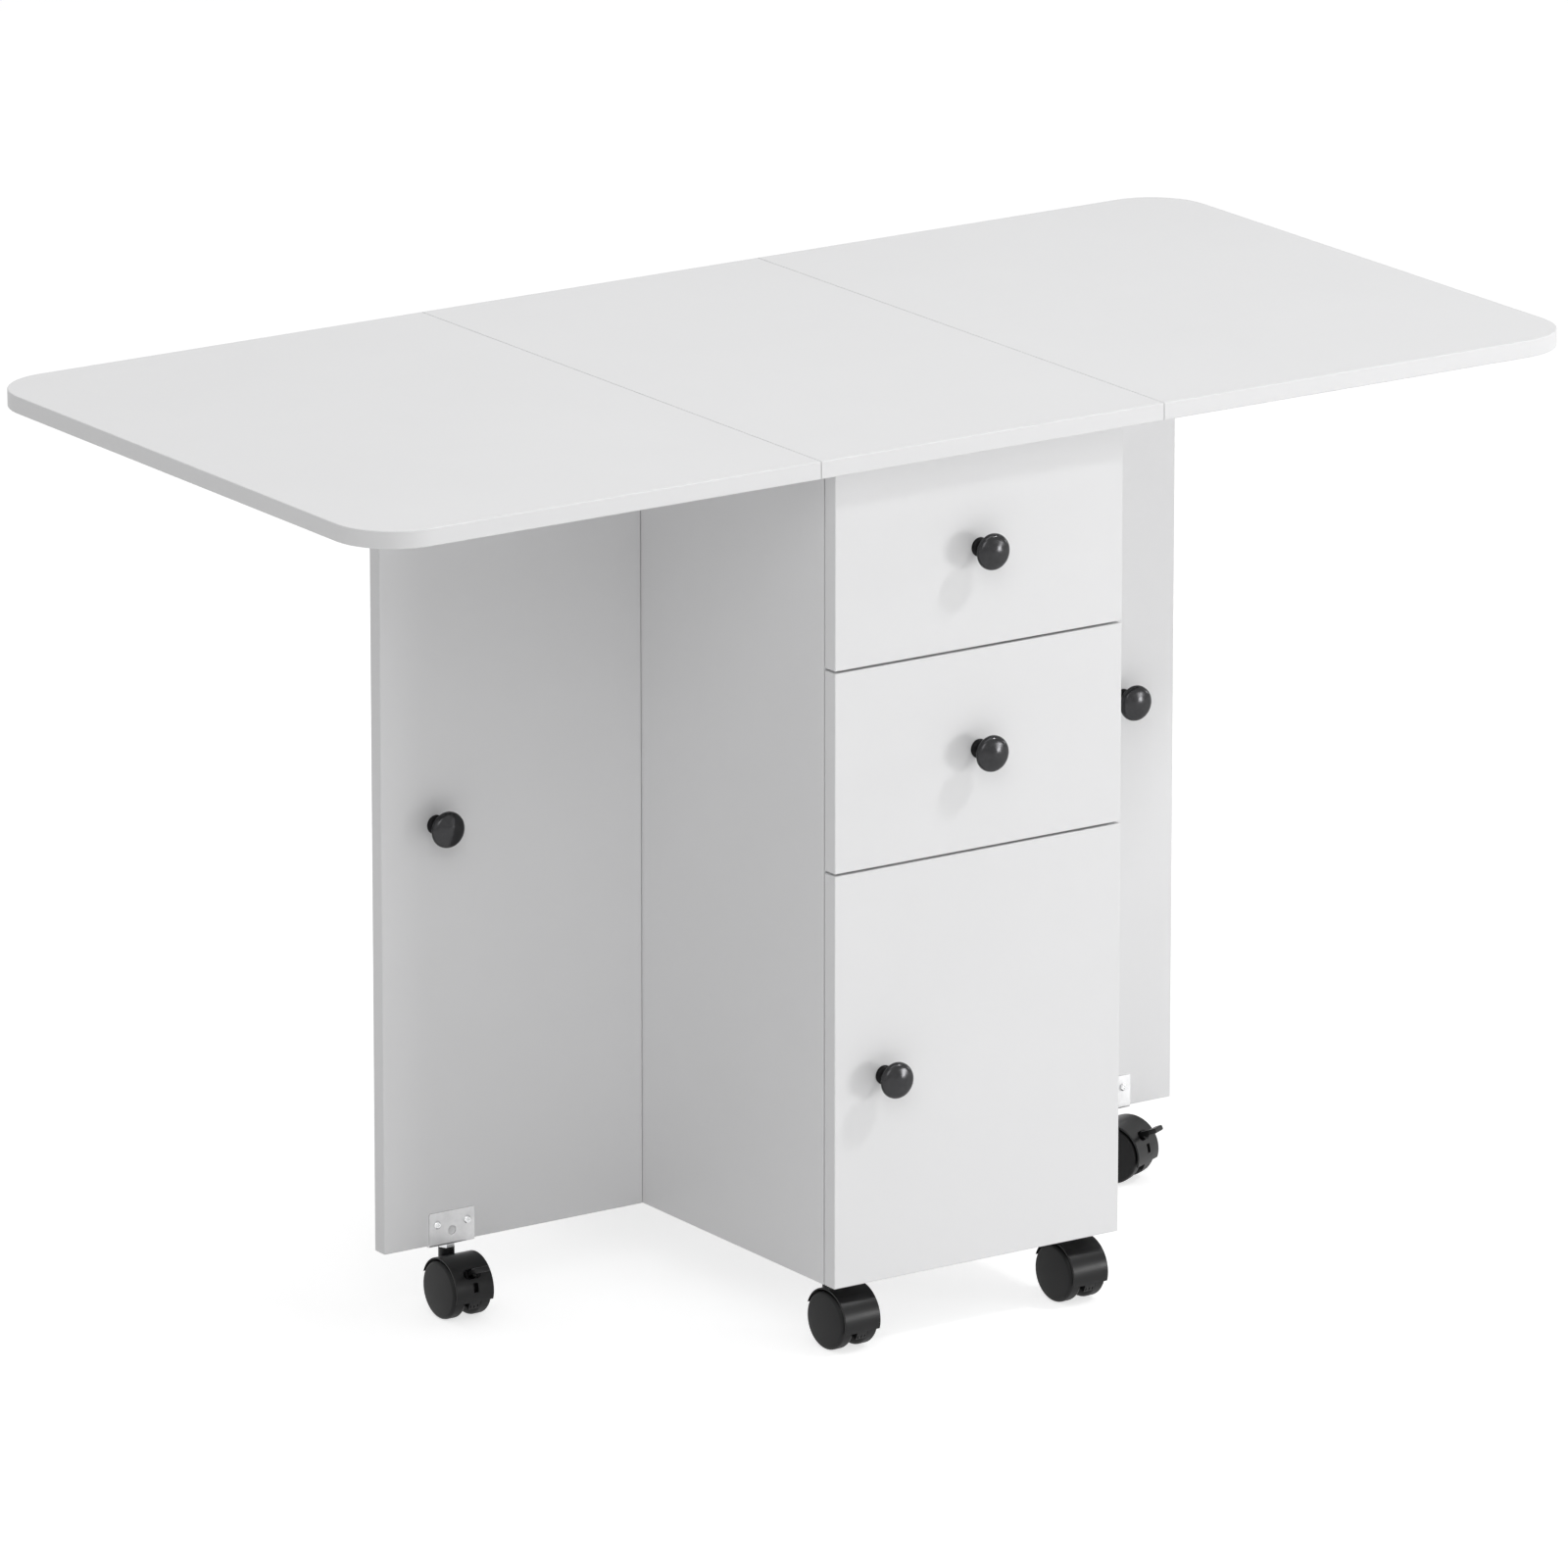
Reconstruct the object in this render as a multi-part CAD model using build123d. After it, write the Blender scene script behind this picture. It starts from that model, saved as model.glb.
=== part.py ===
from build123d import *
import os
import math

# Rolling drop-leaf table. X runs along the open top, the drawers face -Y, and Z is up from the floor.

# Top
top_length = 1200.0
top_depth = 600.0
table_height = 775.0
corner_radius = 55.0
centre_width = 340.0
seam_gap = 0.7
board = 15.0
edge_round = 1.0
carcass_round = 0.5
seam_round = 0.25

# Cabinet
cabinet_width = 286.0
cabinet_depth = 560.0
cabinet_bottom = 61.5
front_gap = 1.5
split_gap = 2.0
upper_split_drop = 186.5
lower_split_drop = 358.5

# Fittings that hold the boards together
fitting_inset = 60.0
dowel_offset = 40.0
dowel_radius = 4.0
dowel_length = 30.0
dowel_sunk = 10.0
cam_radius = 7.5
cam_depth = 12.0
cam_reach = 34.0
cam_slot_past = 3.0
bolt_thread_radius = 2.8
bolt_thread_length = 10.0
bolt_shaft_radius = 2.5
bolt_head_radius = 3.3
bolt_head_length = 2.5
bolt_bore_radius = 4.0

# Screws
screw_radius = 1.5
screw_length = 12.0
screw_head_radius = 2.9
screw_head_height = 1.0
pan_head_radius = 3.4
pan_head_height = 2.0
recess_width = 0.7
recess_span = 3.2
recess_depth = 0.6
head_round_share = 0.6
screw_tip = 0.8

# Hinge plates
plate_thickness = 1.2
plate_width = 25.0
plate_corner = 3.0
knuckle_gap = 0.3
knuckle_room = 0.4
pin_clearance = 0.05
pin_head_height = 1.0
pin_head_extra = 0.7
hinge_screw_reach = 16.0
hinge_screw_spread = 17.0

# Leaf hinges
leaf_hinge_length = 50.0
leaf_hinge_inset = 90.0
leaf_knuckle_radius = 2.2
leaf_pin_radius = 1.1
notch_end_room = 0.5

# Gates
gate_front_offset = 6.0
gate_width = 256.6
gate_side_gap = 0.4
gate_top_gap = 4.0
gate_hinge_length = 60.0
gate_hinge_inset = 90.0
gate_pin_offset = 3.2
gate_knuckle_radius = 2.8
gate_pin_radius = 1.25
pad_length = 50.0
pad_width = 22.0
pad_inset = 10.0
pad_clearance = 0.3
pad_round = 0.5

# Drawers
box_side = 12.0
box_height = 110.0
box_length = 400.0
box_side_gap = 1.5
box_rise = 13.0
bottom_sheet = 3.0
bottom_rise = 8.0
groove_depth = 5.0
strip_height = 16.0
strip_length = 340.0
strip_start = 30.0
strip_groove_depth = 6.5
strip_end_gap = 0.5
strip_side_clearance = 0.5
strip_running_clearance = 0.3
strip_screw_inset = 30.0
strip_screw_sink = 1.5

# Door hinges
door_pin_edge = 5.5
door_pin_depth = 9.0
door_pin_radius = 1.2
door_pin_length = 18.0
door_eye_radius = 2.1
door_arm_thickness = 1.6
door_arm_height = 7.0
door_hinge_inset = 70.0
cup_radius = 13.0
cup_edge = 15.0
cup_depth = 12.6
cup_wall = 0.6
flange_thickness = 1.0
flange_width = 22.0
flange_height = 46.0
flange_round = 6.0
flange_screw_spread = 38.0
flange_screw_offset = 5.5
door_screw_length = 10.0
mount_plate_thickness = 2.0
mount_plate_height = 32.0
mount_plate_length = 40.0
mount_plate_start = 8.0
mount_screw_spread = 22.0

# Knobs
knob_reach = 26.0
knob_head_radius = 15.5
knob_rim_height = 18.7
knob_base_radius = 8.2
knob_base_height = 1.0
knob_neck_radius = 5.6
knob_neck_height = 6.5
knob_waist_slope = 0.4
knob_lip_height = 1.4
knob_lip_inset = 0.9
knob_lip_slope = 0.55
knob_bell_radius = 9.6
knob_bell_height = 13.8
knob_crown_radius = 9.3
knob_crown_drop = 1.5
knob_screw_radius = 2.0
knob_screw_bite = 12.0
knob_screw_head_radius = 4.0
knob_screw_head_height = 2.0
door_knob_inset = 49.0
gate_knob_inset = 53.0
gate_knob_height = 425.0

# Castors
wheel_radius = 25.0
wheel_width = 14.7
castor_width = 40.4
castor_trail = 16.7
shoulder_round = 3.4
inner_round = 4.0
dome_height = 1.4
dome_slope = 0.13
hub_cover = 2.5
axle_radius = 2.5
axle_clearance = 0.05
hood_setback = 1.9
hood_gap = 1.2
hood_wall = 0.9
hood_forward = 1.1
hood_rise = 0.9
hood_wall_shift = 0.35
hood_edge_round = 0.5
hood_front_angle = -13.5
hood_rear_angle = 156.0
neck_round = 0.8
chin_angle = -28.0
web_rear_angle = 184.0
web_inset = 0.5
web_clearance = 0.3
web_hub_radius = 6.5
neck_radius = 6.9
neck_low = 40.0
neck_top = 56.1
nut_bottom = 56.4
castor_top = 60.0
lock_nut_across = 13.0
swivel_pin_radius = 3.5
swivel_pin_low = 27.0
swivel_end_gap = 0.3
swivel_clearance = 0.05
stem_radius = 4.0
stem_reach = 12.0
tick_width = 1.0
tick_depth = 0.8
tick_pitch = 3.4
tick_low_angle = -26.0
tick_high_angle = -20.0

# Where the castors stand and how far each is turned
front_castor_inset_x = 28.0
front_castor_inset_y = 47.0
rear_castor_x = 54.0
rear_castor_inset_y = 46.0
front_castor_turn = 3.0
rear_castor_turn = 0.0
left_gate_castor_turn = 0.0
right_gate_castor_turn = 27.0
insert_radius = 5.0
insert_length = 11.0
insert_flange_radius = 9.0

# Gate castor brackets
bracket_width = 44.5
bracket_height = 28.0
bracket_thickness = 1.5
bracket_bend = 2.0
bracket_corner = 1.5
bracket_centre_inset = 65.7
bracket_screw_spread = 29.6
bracket_screw_height = 17.7
bracket_hole_radius = 4.0
bracket_hole_height = 10.8

# Brake levers
lever_pivot_reach = 18.0
lever_pivot_angle = 50.0
lever_trunnion_radius = 1.5
lever_trunnion_gap = 0.4
lever_boss_radius = 2.6
lever_arm_width = 4.2
lever_arm_thickness = 3.0
lever_end_forward = 6.95
lever_neck_thickness = 4.2
lever_neck_reach = 38.5
lever_neck_angle = 34.6
tongue_reach = 41.3
tongue_angle = 34.4
tongue_tilt = 22.0
tongue_length = 7.6
tongue_width = 14.4
tongue_offset = 0.9
tongue_thickness = 4.6
tongue_round = 1.5
lever_travel = 12.0
lever_room = 0.5
brake_slot_low = 4.0
brake_slot_high = 20.5
brake_slot_width = 4.8
brake_slot_offset = 0.8
brake_slot_depth = 4.0
scoop_reach = 31.0
scoop_angle = 37.0
scoop_radius = 5.4
scoop_half_span = 3.6

# Worked out from the sizes above
front_reach = max(top_depth / 2, cabinet_depth / 2 + knob_reach)
y_mid = (front_reach - top_depth / 2) / 2
y_front = y_mid - cabinet_depth / 2
y_rear = y_mid + cabinet_depth / 2
y_fronts_back = y_front + board
y_carcass = y_fronts_back + front_gap
y_back_panel = y_rear - board
under_top = table_height - board
upper_split = table_height - upper_split_drop
lower_split = table_height - lower_split_drop
half_cabinet = cabinet_width / 2
inner_half = half_cabinet - board
seam_x = centre_width / 2
leaf_axis_z = under_top - plate_thickness
leaf_hinge_y = [y_mid - top_depth / 2 + leaf_hinge_inset, y_mid + top_depth / 2 - leaf_hinge_inset]
gate_y = y_mid + gate_front_offset
gate_back_y = gate_y + board
gate_start = half_cabinet + gate_side_gap
gate_end = gate_start + gate_width
gate_top = under_top - gate_top_gap
gate_pin_x = half_cabinet + gate_pin_offset
gate_pin_y = gate_back_y + gate_pin_offset
gate_hinge_z = [cabinet_bottom + gate_hinge_inset, gate_top - gate_hinge_inset]
gate_plate_offset = gate_pin_offset - plate_thickness
upper_front = [upper_split + split_gap / 2, under_top - split_gap]
lower_front = [lower_split + split_gap / 2, upper_split - split_gap / 2]
door_heights = [cabinet_bottom, lower_split - split_gap / 2]
box_half = inner_half - box_side_gap
box_inner = box_half - box_side
box_end = y_fronts_back + box_length
strip_y = y_carcass + strip_start
strip_inner = box_half - strip_groove_depth + strip_side_clearance
door_pin_x = half_cabinet - door_pin_edge
door_pin_y = y_fronts_back - door_pin_depth
cup_x = half_cabinet - cup_edge
door_hinge_z = [door_heights[0] + door_hinge_inset, door_heights[1] - door_hinge_inset]
web_half = castor_width / 2 - wheel_width - web_clearance
hood_width = castor_width - 2 * hood_setback
hood_bore_radius = wheel_radius + hood_gap
hood_radius = hood_bore_radius + hood_wall
web_radius = wheel_radius - web_inset
bracket_x = gate_end - bracket_centre_inset
gate_castor_y = gate_y + board / 2
gate_knob_x = gate_end - gate_knob_inset
RIGHT = 1
LEFT = -1
size_match = 0.01
sweep_steps = 4
wedge_steps = 6


# Shared shapes
def block(x_low, x_high, y_low, y_high, z_low, z_high):
    """Return a box between six planes."""
    middle = Pos((x_low + x_high) / 2, (y_low + y_high) / 2, (z_low + z_high) / 2)
    return middle * Box(x_high - x_low, y_high - y_low, z_high - z_low)


def softened(x_low, x_high, y_low, y_high, z_low, z_high, radius):
    """Return a board between six planes with all its edges rounded."""
    return fillet(block(x_low, x_high, y_low, y_high, z_low, z_high).edges(), radius)


def rod(start, direction, radius, length):
    """Return a round bar from a start point along a direction."""
    bar = Cylinder(radius, length, align=(Align.CENTER, Align.CENTER, Align.MIN))
    return Plane(origin=start, z_dir=direction) * bar


def along(point, direction, distance):
    """Return the point a distance away along a direction."""
    return Vector(*point) + Vector(*direction) * distance


def screw(start, direction, length, head_radius, head_height, radius=screw_radius):
    """Return a cross-head screw whose head sits at the start and whose shank runs along the direction."""
    head = Cylinder(head_radius, head_height, align=(Align.CENTER, Align.CENTER, Align.MAX))
    head = fillet(head.edges().sort_by(Axis.Z)[0], head_height * head_round_share)
    for turn in (0, 90):
        cut = Box(recess_span, recess_width, recess_depth, align=(Align.CENTER, Align.CENTER, Align.MIN))
        head -= Pos(0, 0, -head_height) * Rot(0, 0, turn) * cut
    shank = Cylinder(radius, length, align=(Align.CENTER, Align.CENTER, Align.MIN))
    shank = chamfer(shank.edges().sort_by(Axis.Z)[-1], screw_tip)
    return Plane(origin=start, z_dir=direction) * (head + shank)


def small_screws(places, length=screw_length):
    """Return one small wood screw at every place."""
    return [screw(point, way, length, screw_head_radius, screw_head_height) for point, way in places]


def bored(shape, places, radius, length):
    """Return a shape with a round hole at every place."""
    for point, way in places:
        shape -= rod(point, way, radius, length)
    return shape


def handed(shape, side):
    """Return a right-hand shape as it is, or mirrored for the left."""
    return shape if side == RIGHT else shape.mirror(Plane.YZ)


def both_sides(places):
    """Return places on the right together with their mirror images on the left."""
    mirrored = [((-point[0], point[1], point[2]), (-way[0], way[1], way[2])) for point, way in places]
    return places + mirrored


def save(name, shapes):
    """Write the solids of one named piece."""
    solids = [solid for shape in shapes for solid in shape.solids()]
    export_step(solids[0] if len(solids) == 1 else Compound(solids), "parts/" + name + ".step")


# Cam fittings and dowels, each given by the point where two boards meet
def joint_rows(side):
    """Return the rows of fittings of one side panel as (row, point, way in, cam way, way along)."""
    edge_x = side * (inner_half + board / 2)
    face_x = side * inner_half
    inward = (-side, 0, 0)
    front_y = y_carcass + fitting_inset
    rear_y = y_rear - fitting_inset
    shelf_y = y_back_panel - fitting_inset
    low_z = cabinet_bottom + board + fitting_inset
    high_z = under_top - fitting_inset - dowel_offset
    bottom_z = cabinet_bottom + board / 2
    back_y = y_back_panel + board / 2
    return [
        ("top", (edge_x, front_y, under_top), (0, 0, -1), (side, 0, 0), (0, 1, 0)),
        ("top", (edge_x, rear_y, under_top), (0, 0, -1), (side, 0, 0), (0, -1, 0)),
        ("bottom", (face_x, front_y, bottom_z), inward, (0, 0, 1), (0, 1, 0)),
        ("bottom", (face_x, rear_y, bottom_z), inward, (0, 0, 1), (0, -1, 0)),
        ("shelf", (face_x, front_y, lower_split), inward, (0, 0, 1), (0, 1, 0)),
        ("shelf", (face_x, shelf_y, lower_split), inward, (0, 0, 1), (0, -1, 0)),
        ("back", (face_x, back_y, low_z), inward, (0, 1, 0), (0, 0, 1)),
        ("back", (face_x, back_y, high_z), inward, (0, 1, 0), (0, 0, -1)),
    ]


def cam_lock(point, way, cam_way):
    """Return one round cam lock with the slot that grips its bolt."""
    centre = along(point, way, cam_reach)
    lock = rod(along(centre, cam_way, -board / 2), cam_way, cam_radius, cam_depth)
    slot_start = along(point, way, cam_reach - cam_radius - cam_slot_past)
    lock -= rod(slot_start, way, bolt_bore_radius, cam_radius + 2 * cam_slot_past)
    mouth = Plane(origin=along(centre, cam_way, -board / 2), z_dir=cam_way)
    for turn in (0, 90):
        lock -= mouth * Rot(0, 0, turn) * Box(2 * recess_span, recess_width, 2 * recess_depth)
    return lock


def cam_bolt(point, way):
    """Return the steel bolt that one cam lock pulls on."""
    bolt = rod(along(point, way, -bolt_thread_length), way, bolt_thread_radius, bolt_thread_length)
    bolt += rod(point, way, bolt_shaft_radius, cam_reach)
    head_start = along(point, way, cam_reach - bolt_head_length / 2)
    bolt += rod(head_start, way, bolt_head_radius, bolt_head_length)
    return bolt


def dowel(point, way, run):
    """Return the wooden dowel that stands beside one cam fitting."""
    start = along(along(point, run, dowel_offset), way, -dowel_sunk)
    return rod(start, way, dowel_radius, dowel_length)


def fitted(panel, side, rows):
    """Return a board bored for the cam fittings and dowels of the rows named."""
    for row, point, way, cam_way, run in joint_rows(side):
        if row in rows:
            centre = along(point, way, cam_reach)
            panel -= rod(along(centre, cam_way, -board / 2), cam_way, cam_radius, cam_depth)
            panel -= rod(point, way, bolt_bore_radius, cam_reach)
            thread_end = along(point, way, -bolt_thread_length)
            panel -= rod(thread_end, way, bolt_thread_radius, bolt_thread_length)
            panel -= dowel(point, way, run)
    return panel


# Hinges
def knuckle_spans(length, middle):
    """Return the spans of the knuckles of one hinge half."""
    inner = length / 6 - knuckle_gap / 2
    outer = length / 6 + knuckle_gap / 2
    return [(-inner, inner)] if middle else [(-length / 2, -outer), (outer, length / 2)]


def hinge_half(length, offset, knuckle_radius, bore_radius, middle):
    """Return half a hinge: pin along Z at the origin, plate along X, board towards +Y."""
    root = knuckle_radius + knuckle_room
    half = block(root, plate_width, offset, offset + plate_thickness, -length / 2, length / 2)
    half = fillet(half.edges().filter_by(Axis.Y).sort_by(Axis.X)[-2:], plate_corner)
    for low, high in knuckle_spans(length, middle):
        half += block(0, root, offset, offset + plate_thickness, low, high)
        half += rod((0, 0, low), (0, 0, 1), knuckle_radius, high - low)
    half -= rod((0, 0, -length / 2), (0, 0, 1), bore_radius, length)
    for step in (-1, 1):
        hole = (hinge_screw_reach, offset, step * hinge_screw_spread / 2)
        half -= rod(hole, (0, 1, 0), screw_radius, plate_thickness)
    return half


def hinge_pin(length, radius):
    """Return a hinge pin along Z with a small head at each end."""
    pin = rod((0, 0, -length / 2), (0, 0, 1), radius, length)
    pin += rod((0, 0, length / 2), (0, 0, 1), radius + pin_head_extra, pin_head_height)
    pin += rod((0, 0, -length / 2), (0, 0, -1), radius + pin_head_extra, pin_head_height)
    return pin


def hinge_places(plane, offset):
    """Return where the screws of one hinge half start and which way they run."""
    places = []
    for step in (-1, 1):
        point = plane.from_local_coords((hinge_screw_reach, offset, step * hinge_screw_spread / 2))
        places.append((tuple(point), tuple(plane.y_dir)))
    return places


def leaf_fixed_planes():
    """Return the hinge frames on the centre top, right-hand seam."""
    return [Plane(origin=(seam_x, y, leaf_axis_z), x_dir=(-1, 0, 0), z_dir=(0, 1, 0)) for y in leaf_hinge_y]


def leaf_moving_planes():
    """Return the hinge frames on the right-hand leaf."""
    return [Plane(origin=(seam_x, y, leaf_axis_z), x_dir=(1, 0, 0), z_dir=(0, -1, 0)) for y in leaf_hinge_y]


def gate_fixed_planes():
    """Return the hinge frames on the right-hand side panel."""
    origins = [(gate_pin_x, gate_pin_y, z) for z in gate_hinge_z]
    return [Plane(origin=origin, x_dir=(0, 1, 0), z_dir=(0, 0, 1)) for origin in origins]


def gate_moving_planes():
    """Return the hinge frames on the right-hand gate."""
    origins = [(gate_pin_x, gate_pin_y, z) for z in gate_hinge_z]
    return [Plane(origin=origin, x_dir=(1, 0, 0), z_dir=(0, 0, -1)) for origin in origins]


def screw_places(planes, offset):
    """Return the screw places of all the hinge halves on the planes given."""
    return [place for plane in planes for place in hinge_places(plane, offset)]


def knuckle_notches():
    """Return the hollows along the right-hand seam that give the leaf hinge knuckles room."""
    reach = leaf_knuckle_radius + knuckle_room
    half = leaf_hinge_length / 2 + pin_head_height + notch_end_room
    notches = []
    for y in leaf_hinge_y:
        high = leaf_axis_z + reach
        notches.append(block(seam_x - reach, seam_x + reach, y - half, y + half, leaf_axis_z, high))
    return notches


# Top boards
def centre_top():
    """Return the fixed middle board of the top."""
    half = seam_x - seam_gap / 2
    low = y_mid - top_depth / 2
    high = y_mid + top_depth / 2
    panel = block(-half, half, low, high, under_top, table_height)
    panel = fillet(panel.edges().filter_by(Axis.X), edge_round)
    upper = panel.faces().sort_by(Axis.Z)[-1]
    panel = fillet(upper.edges().filter_by(Axis.Y), seam_round)
    for side in (LEFT, RIGHT):
        panel = fitted(panel, side, ["top"])
        for notch in knuckle_notches():
            panel -= handed(notch, side)
    return bored(panel, both_sides(screw_places(leaf_fixed_planes(), 0)), screw_radius, screw_length)


def leaf_board(side):
    """Return one drop leaf with its two large outer corners."""
    start = seam_x + seam_gap / 2
    low = y_mid - top_depth / 2
    high = y_mid + top_depth / 2
    panel = block(start, top_length / 2, low, high, under_top, table_height)
    panel = fillet(panel.edges().filter_by(Axis.Z).sort_by(Axis.X)[-2:], corner_radius)
    rims = [panel.faces().sort_by(Axis.Z)[0], panel.faces().sort_by(Axis.Z)[-1]]
    edges = [edge for rim in rims for edge in rim.edges() if edge.center().X > start + 1]
    panel = fillet(edges, edge_round)
    upper = panel.faces().sort_by(Axis.Z)[-1]
    panel = fillet(upper.edges().sort_by(Axis.X)[0], seam_round)
    for notch in knuckle_notches():
        panel -= notch
    panel = bored(panel, screw_places(leaf_moving_planes(), 0), screw_radius, screw_length)
    return handed(panel, side)


def leaf_pad(side):
    """Return the slip pad on which the leaf rests over the open gate."""
    high = gate_end - pad_inset
    low_z = gate_top + pad_clearance
    middle = gate_y + board / 2
    pad = block(high - pad_length, high, middle - pad_width / 2, middle + pad_width / 2, low_z, under_top)
    lower = pad.faces().sort_by(Axis.Z)[0]
    return handed(fillet(list(lower.edges()), pad_round), side)


def leaf_hinge_halves(side):
    """Return the two moving hinge halves under one leaf with their screws."""
    shapes = []
    for plane in leaf_moving_planes():
        bore = leaf_pin_radius + pin_clearance
        shapes.append(plane * hinge_half(leaf_hinge_length, 0, leaf_knuckle_radius, bore, True))
    shapes += small_screws(screw_places(leaf_moving_planes(), 0))
    return [handed(shape, side) for shape in shapes]


def leaf_fixed_halves():
    """Return the fixed hinge halves under the centre top with their pins."""
    shapes = []
    for plane in leaf_fixed_planes():
        half = plane * hinge_half(leaf_hinge_length, 0, leaf_knuckle_radius, leaf_pin_radius, False)
        pin = plane * hinge_pin(leaf_hinge_length, leaf_pin_radius)
        for side in (LEFT, RIGHT):
            shapes += [handed(half, side), handed(pin, side)]
    return shapes


# Cabinet boards
def strip_heights():
    """Return the middle height of each drawer's runner strips."""
    return [low + box_rise + box_height / 2 for low, high in (upper_front, lower_front)]


def strip_places():
    """Return the screw places of the right-hand runner strips."""
    start = strip_inner + strip_screw_sink
    ends = (strip_y + strip_screw_inset, strip_y + strip_length - strip_screw_inset)
    return [((start, y, z), (1, 0, 0)) for z in strip_heights() for y in ends]


def mount_places():
    """Return the screw places of the door hinge mounting plates."""
    start = inner_half - mount_plate_thickness
    y = y_carcass + mount_plate_start + mount_plate_length / 2
    steps = (-mount_screw_spread / 2, mount_screw_spread / 2)
    return [((start, y, z + step), (1, 0, 0)) for z in door_hinge_z for step in steps]


def side_panel(side):
    """Return one side of the cabinet with the bores for everything fixed to it."""
    panel = softened(inner_half, half_cabinet, y_carcass, y_rear, cabinet_bottom, under_top, carcass_round)
    panel = fitted(panel, RIGHT, ["top", "bottom", "shelf", "back"])
    panel = bored(panel, screw_places(gate_fixed_planes(), gate_plate_offset), screw_radius, screw_length)
    panel = bored(panel, strip_places(), screw_radius, screw_length)
    if side == RIGHT:
        panel = bored(panel, mount_places(), screw_radius, screw_length)
    return handed(panel, side)


def castor_stands():
    """Return where the four castors under the cabinet stand."""
    front_x = half_cabinet - front_castor_inset_x
    front_y = y_front + front_castor_inset_y
    rear_y = y_rear - rear_castor_inset_y
    return [(-front_x, front_y), (front_x, front_y), (-rear_castor_x, rear_y), (rear_castor_x, rear_y)]


def bottom_board():
    """Return the bottom of the cabinet with bores for the castor inserts."""
    high = cabinet_bottom + board
    panel = softened(-inner_half, inner_half, y_carcass, y_rear, cabinet_bottom, high, carcass_round)
    for x, y in castor_stands():
        panel -= rod((x, y, cabinet_bottom), (0, 0, 1), insert_radius, insert_length)
    for side in (LEFT, RIGHT):
        panel = fitted(panel, side, ["bottom"])
    return panel


def drawer_shelf():
    """Return the fixed shelf between the drawers and the cupboard."""
    low = lower_split - board / 2
    high = lower_split + board / 2
    panel = softened(-inner_half, inner_half, y_carcass, y_back_panel, low, high, carcass_round)
    for side in (LEFT, RIGHT):
        panel = fitted(panel, side, ["shelf"])
    return panel


def back_panel():
    """Return the back board that stands between the sides."""
    low = cabinet_bottom + board
    panel = softened(-inner_half, inner_half, y_back_panel, y_rear, low, under_top, carcass_round)
    for side in (LEFT, RIGHT):
        panel = fitted(panel, side, ["back"])
    return panel


def runner_strips():
    """Return the four strips the drawers slide on, with the sunk holes of their screws."""
    strips = []
    for z in strip_heights():
        low = z - strip_height / 2
        high = z + strip_height / 2
        strip = block(strip_inner, inner_half, strip_y, strip_y + strip_length, low, high)
        strip = chamfer(strip.faces().sort_by(Axis.Y)[0].edges().filter_by(Axis.X), edge_round)
        for point, way in strip_places():
            if abs(point[2] - z) < strip_height / 2:
                strip -= rod(along(point, way, -strip_screw_sink), way, screw_head_radius, strip_screw_sink)
                strip -= rod(point, way, screw_radius, screw_length)
        strips += [strip, handed(strip, LEFT)]
    return strips


def gate_fixed_halves():
    """Return the hinge halves on the outside of the cabinet with their pins."""
    shapes = []
    for plane in gate_fixed_planes():
        half = hinge_half(gate_hinge_length, gate_plate_offset, gate_knuckle_radius, gate_pin_radius, False)
        pin = hinge_pin(gate_hinge_length, gate_pin_radius)
        for side in (LEFT, RIGHT):
            shapes += [handed(plane * half, side), handed(plane * pin, side)]
    return shapes


def cabinet_screws():
    """Return every wood screw that holds fittings to the fixed boards."""
    places = screw_places(leaf_fixed_planes(), 0)
    places += screw_places(gate_fixed_planes(), gate_plate_offset)
    places += strip_places()
    return small_screws(both_sides(places) + mount_places())


# Knobs
def knob(x, face_y, z):
    """Return a turned knob standing on a face that looks towards -Y, with its screw from behind."""
    rim = knob_head_radius
    base_edge = (knob_base_radius, knob_base_height)
    foot = [Line((0, 0), (knob_base_radius, 0)), Line((knob_base_radius, 0), base_edge)]
    neck_end = (knob_neck_radius, knob_neck_height)
    waist = Spline(base_edge, neck_end, tangents=((-1, knob_waist_slope), (0, 1)))
    lip = (rim - knob_lip_inset, knob_rim_height - knob_lip_height)
    bell_middle = (knob_bell_radius, knob_bell_height)
    bell = Spline(neck_end, bell_middle, lip, tangents=((0, 1), (1, knob_lip_slope)))
    edge = Spline(lip, (rim, knob_rim_height), tangents=((1, knob_lip_slope), (0, 1)))
    crown = (knob_crown_radius, knob_reach - knob_crown_drop)
    dome = Spline((rim, knob_rim_height), crown, (0, knob_reach), tangents=((0, 1), (-1, 0)))
    outline = Wire(foot + [waist, bell, edge, dome, Line((0, knob_reach), (0, 0))])
    body = revolve(make_face(outline), Axis.Y)
    body -= rod((0, 0, 0), (0, 1, 0), knob_screw_radius, knob_screw_bite)
    body = Pos(x, face_y, z) * Rot(0, 0, 180) * body
    back = (x, face_y + board, z)
    bolt = screw(back, (0, -1, 0), board + knob_screw_bite, knob_screw_head_radius, knob_screw_head_height,
                 knob_screw_radius)
    return [body, bolt]


# Drawers
def drawer_front(heights):
    """Return the board that closes one drawer."""
    low, high = heights
    sheet_low = low + box_rise + bottom_rise
    panel = softened(-half_cabinet, half_cabinet, y_front, y_fronts_back, low, high, edge_round)
    slot_half = box_inner + groove_depth
    sheet_high = sheet_low + bottom_sheet
    slot_start = y_fronts_back - groove_depth
    panel -= block(-slot_half, slot_half, slot_start, y_fronts_back, sheet_low, sheet_high)
    return panel - rod((0, y_front, (low + high) / 2), (0, 1, 0), knob_screw_radius, board)


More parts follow.
